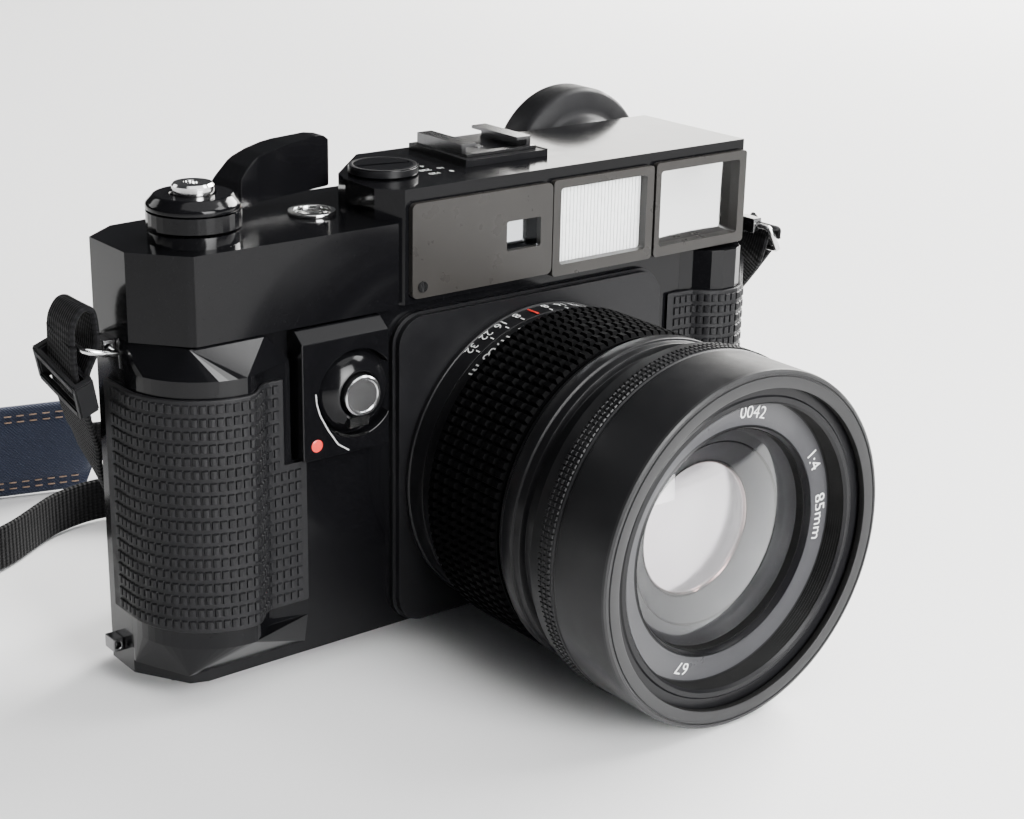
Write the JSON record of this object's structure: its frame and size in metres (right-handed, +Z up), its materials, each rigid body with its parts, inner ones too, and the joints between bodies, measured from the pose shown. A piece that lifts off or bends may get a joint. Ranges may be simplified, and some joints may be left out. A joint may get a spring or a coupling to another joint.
{
  "type": "medium-format rangefinder camera",
  "caption": "Black medium-format rangefinder camera with a fixed lens, retracted hood, finder windows, wind lever, ribbed rubber grips and a webbing strap with a denim pad",
  "frame": {"origin": "mouth of the tripod socket in the underside, straight below the lens axis", "axes": "+Z up out of the base; -Y the way the lens looks; +X to the left of someone holding the camera, away from the wind lever"},
  "size_m": [0.3226, 0.2459, 0.1227],
  "materials": {
    "gloss_black": "glossy",
    "satin_black": "satin",
    "bronze_trim": "satin",
    "grip_rubber": "matte",
    "clear_glass": "clear",
    "white_diffuser": "satin",
    "chrome": "polished",
    "steel": "brushed",
    "inner_black": "matte",
    "spool_plastic": "matte",
    "back_black": "satin",
    "webbing": "woven",
    "denim": "woven"
  },
  "bodies": {
    "camera": {"body_casting": "gloss_black", "base_cover": "gloss_black", "tripod_bush": "chrome", "grip_shell_left": "gloss_black", "grip_shell_right": "gloss_black", "grip_left": "grip_rubber", "grip_right": "grip_rubber", "top_cover": "satin_black", "finder_panel": "bronze_trim", "illum_frame": "bronze_trim", "finder_frame": "bronze_trim", "illum_window": "white_diffuser", "finder_window": "clear_glass", "range_window": "clear_glass", "eyepiece_ring": "satin_black", "eyepiece_lens": "clear_glass", "eyecup": "grip_rubber", "shoe_base": "satin_black", "shoe_rails": "chrome", "counter_bezel": "chrome", "lens_plate": "satin_black", "release_housing": "gloss_black", "strap_lugs": "chrome", "panel_screws": "chrome", "lens_base": "satin_black", "hinge_pin": "steel", "strap_webbing": "webbing", "strap_pad": "denim", "strap_sliders": "spool_plastic"},
    "wind": {"wind_lever": "satin_black", "wind_hub": "satin_black", "wind_shaft": "steel"},
    "idler": {"idler_gear": "steel"},
    "takeup": {"takeup_drive": "steel", "takeup_spool": "spool_plastic"},
    "counter": {"counter_disc": "inner_black"},
    "supply": {"supply_spool": "spool_plastic"},
    "roller_l": {"roller_left": "chrome"},
    "roller_r": {"roller_right": "chrome"},
    "dial": {"film_dial": "satin_black"},
    "door": {"back_door": "back_black"},
    "plate": {"pressure_plate": "inner_black"},
    "latch": {"door_latch": "spool_plastic"},
    "pin_l": {"takeup_pin": "chrome"},
    "pin_r": {"supply_pin": "chrome"},
    "release_top": {"top_button": "chrome"},
    "release_front": {"front_button": "chrome"},
    "collar": {"lock_collar": "satin_black"},
    "focus": {"focus_ring": "satin_black", "focus_rubber": "grip_rubber"},
    "head": {"head_barrel": "satin_black", "shutter_unit": "inner_black", "front_cell": "inner_black", "front_lens": "clear_glass", "rear_lens": "clear_glass"},
    "speed": {"shutter_ring": "satin_black"},
    "iris": {"aperture_ring": "satin_black"},
    "hood_body": {"hood": "satin_black"},
    "ring_l": {"ring_left": "chrome"},
    "ring_r": {"ring_right": "chrome"}
  },
  "joints": [
    {"name": "wind_swing", "type": "hinge", "parent": "camera", "child": "wind", "pos_m": [-0.086, -0.008, 0.11], "axis": [0, 0, 1], "range_deg": [0, 180], "stiffness_Nm_per_rad": 0.001},
    {"name": "idler_spin", "type": "hinge", "parent": "camera", "child": "idler", "pos_m": [-0.07208, -0.00327, 0.0838], "axis": [0, 0, 1], "range_deg": [-475, 0]},
    {"name": "takeup_spin", "type": "hinge", "parent": "camera", "child": "takeup", "pos_m": [-0.061, 0.0005, 0.05], "axis": [0, 0, 1], "range_deg": [0, 255]},
    {"name": "counter_turn", "type": "hinge", "parent": "camera", "child": "counter", "pos_m": [-0.0571, 0.0019, 0.1015], "axis": [0, 0, 1], "range_deg": [0, 31]},
    {"name": "supply_spin", "type": "hinge", "parent": "camera", "child": "supply", "pos_m": [0.061, 0.0005, 0.05], "axis": [0, 0, 1], "continuous": true},
    {"name": "left_roller_spin", "type": "hinge", "parent": "camera", "child": "roller_l", "pos_m": [-0.0442, 0.013, 0.042], "axis": [0, 0, 1], "continuous": true},
    {"name": "right_roller_spin", "type": "hinge", "parent": "camera", "child": "roller_r", "pos_m": [0.0442, 0.013, 0.042], "axis": [0, 0, 1], "continuous": true},
    {"name": "film_dial_turn", "type": "hinge", "parent": "camera", "child": "dial", "pos_m": [-0.0325, -0.0025, 0.115], "axis": [0, 0, 1], "range_deg": [0, 180]},
    {"name": "door_swing", "type": "hinge", "parent": "camera", "child": "door", "pos_m": [-0.0944, 0.0165, 0.046], "axis": [0, 0, 1], "range_deg": [0, 24]},
    {"name": "plate_press", "type": "slide", "parent": "door", "child": "plate", "axis": [0, 1, 0], "range_m": [0, 0.0009], "stiffness_N_per_m": 300},
    {"name": "latch_slide", "type": "slide", "parent": "camera", "child": "latch", "axis": [0, 0, 1], "range_m": [0, 0.004]},
    {"name": "takeup_pin_pull", "type": "slide", "parent": "camera", "child": "pin_l", "axis": [0, 0, -1], "range_m": [0, 0.0042]},
    {"name": "supply_pin_pull", "type": "slide", "parent": "camera", "child": "pin_r", "axis": [0, 0, -1], "range_m": [0, 0.0042]},
    {"name": "top_release_press", "type": "slide", "parent": "camera", "child": "release_top", "axis": [0, 0, -1], "range_m": [0, 0.0015], "stiffness_N_per_m": 500},
    {"name": "front_release_press", "type": "slide", "parent": "camera", "child": "release_front", "axis": [0, 1, 0], "range_m": [0, 0.0013], "stiffness_N_per_m": 500},
    {"name": "release_lock_turn", "type": "hinge", "parent": "camera", "child": "collar", "pos_m": [-0.0545, -0.023, 0.0697], "axis": [0, 1, 0], "range_deg": [0, 90]},
    {"name": "focus_turn", "type": "hinge", "parent": "camera", "child": "focus", "pos_m": [0, -0.045, 0.0422], "axis": [0, 1, 0], "range_deg": [0, 130]},
    {"name": "head_travel", "type": "slide", "parent": "camera", "child": "head", "axis": [0, -1, 0], "range_m": [0, 0.0089]},
    {"name": "speed_turn", "type": "hinge", "parent": "head", "child": "speed", "pos_m": [0, -0.076, 0.0422], "axis": [0, 1, 0], "range_deg": [0, 100]},
    {"name": "iris_turn", "type": "hinge", "parent": "head", "child": "iris", "pos_m": [0, -0.084, 0.0422], "axis": [0, 1, 0], "range_deg": [0, 60]},
    {"name": "hood_slide", "type": "slide", "parent": "head", "child": "hood_body", "axis": [0, -1, 0], "range_m": [0, 0.016]},
    {"name": "left_ring_swing", "type": "hinge", "parent": "camera", "child": "ring_l", "pos_m": [-0.1054, 0, 0.084], "axis": [0, 1, 0], "range_deg": [-2, 8]},
    {"name": "right_ring_swing", "type": "hinge", "parent": "camera", "child": "ring_r", "pos_m": [0.0938, 0, 0.084], "axis": [0, 1, 0], "range_deg": [-8, 8]}
  ],
  "couplings": [
    {"joint": "idler_spin", "follows": "wind_swing", "ratio": -2.6232},
    {"joint": "takeup_spin", "follows": "wind_swing", "ratio": 1.4},
    {"joint": "counter_turn", "follows": "wind_swing", "ratio": 0.1667},
    {"joint": "head_travel", "follows": "focus_turn", "m_per_rad": 0.0039226}
  ]
}
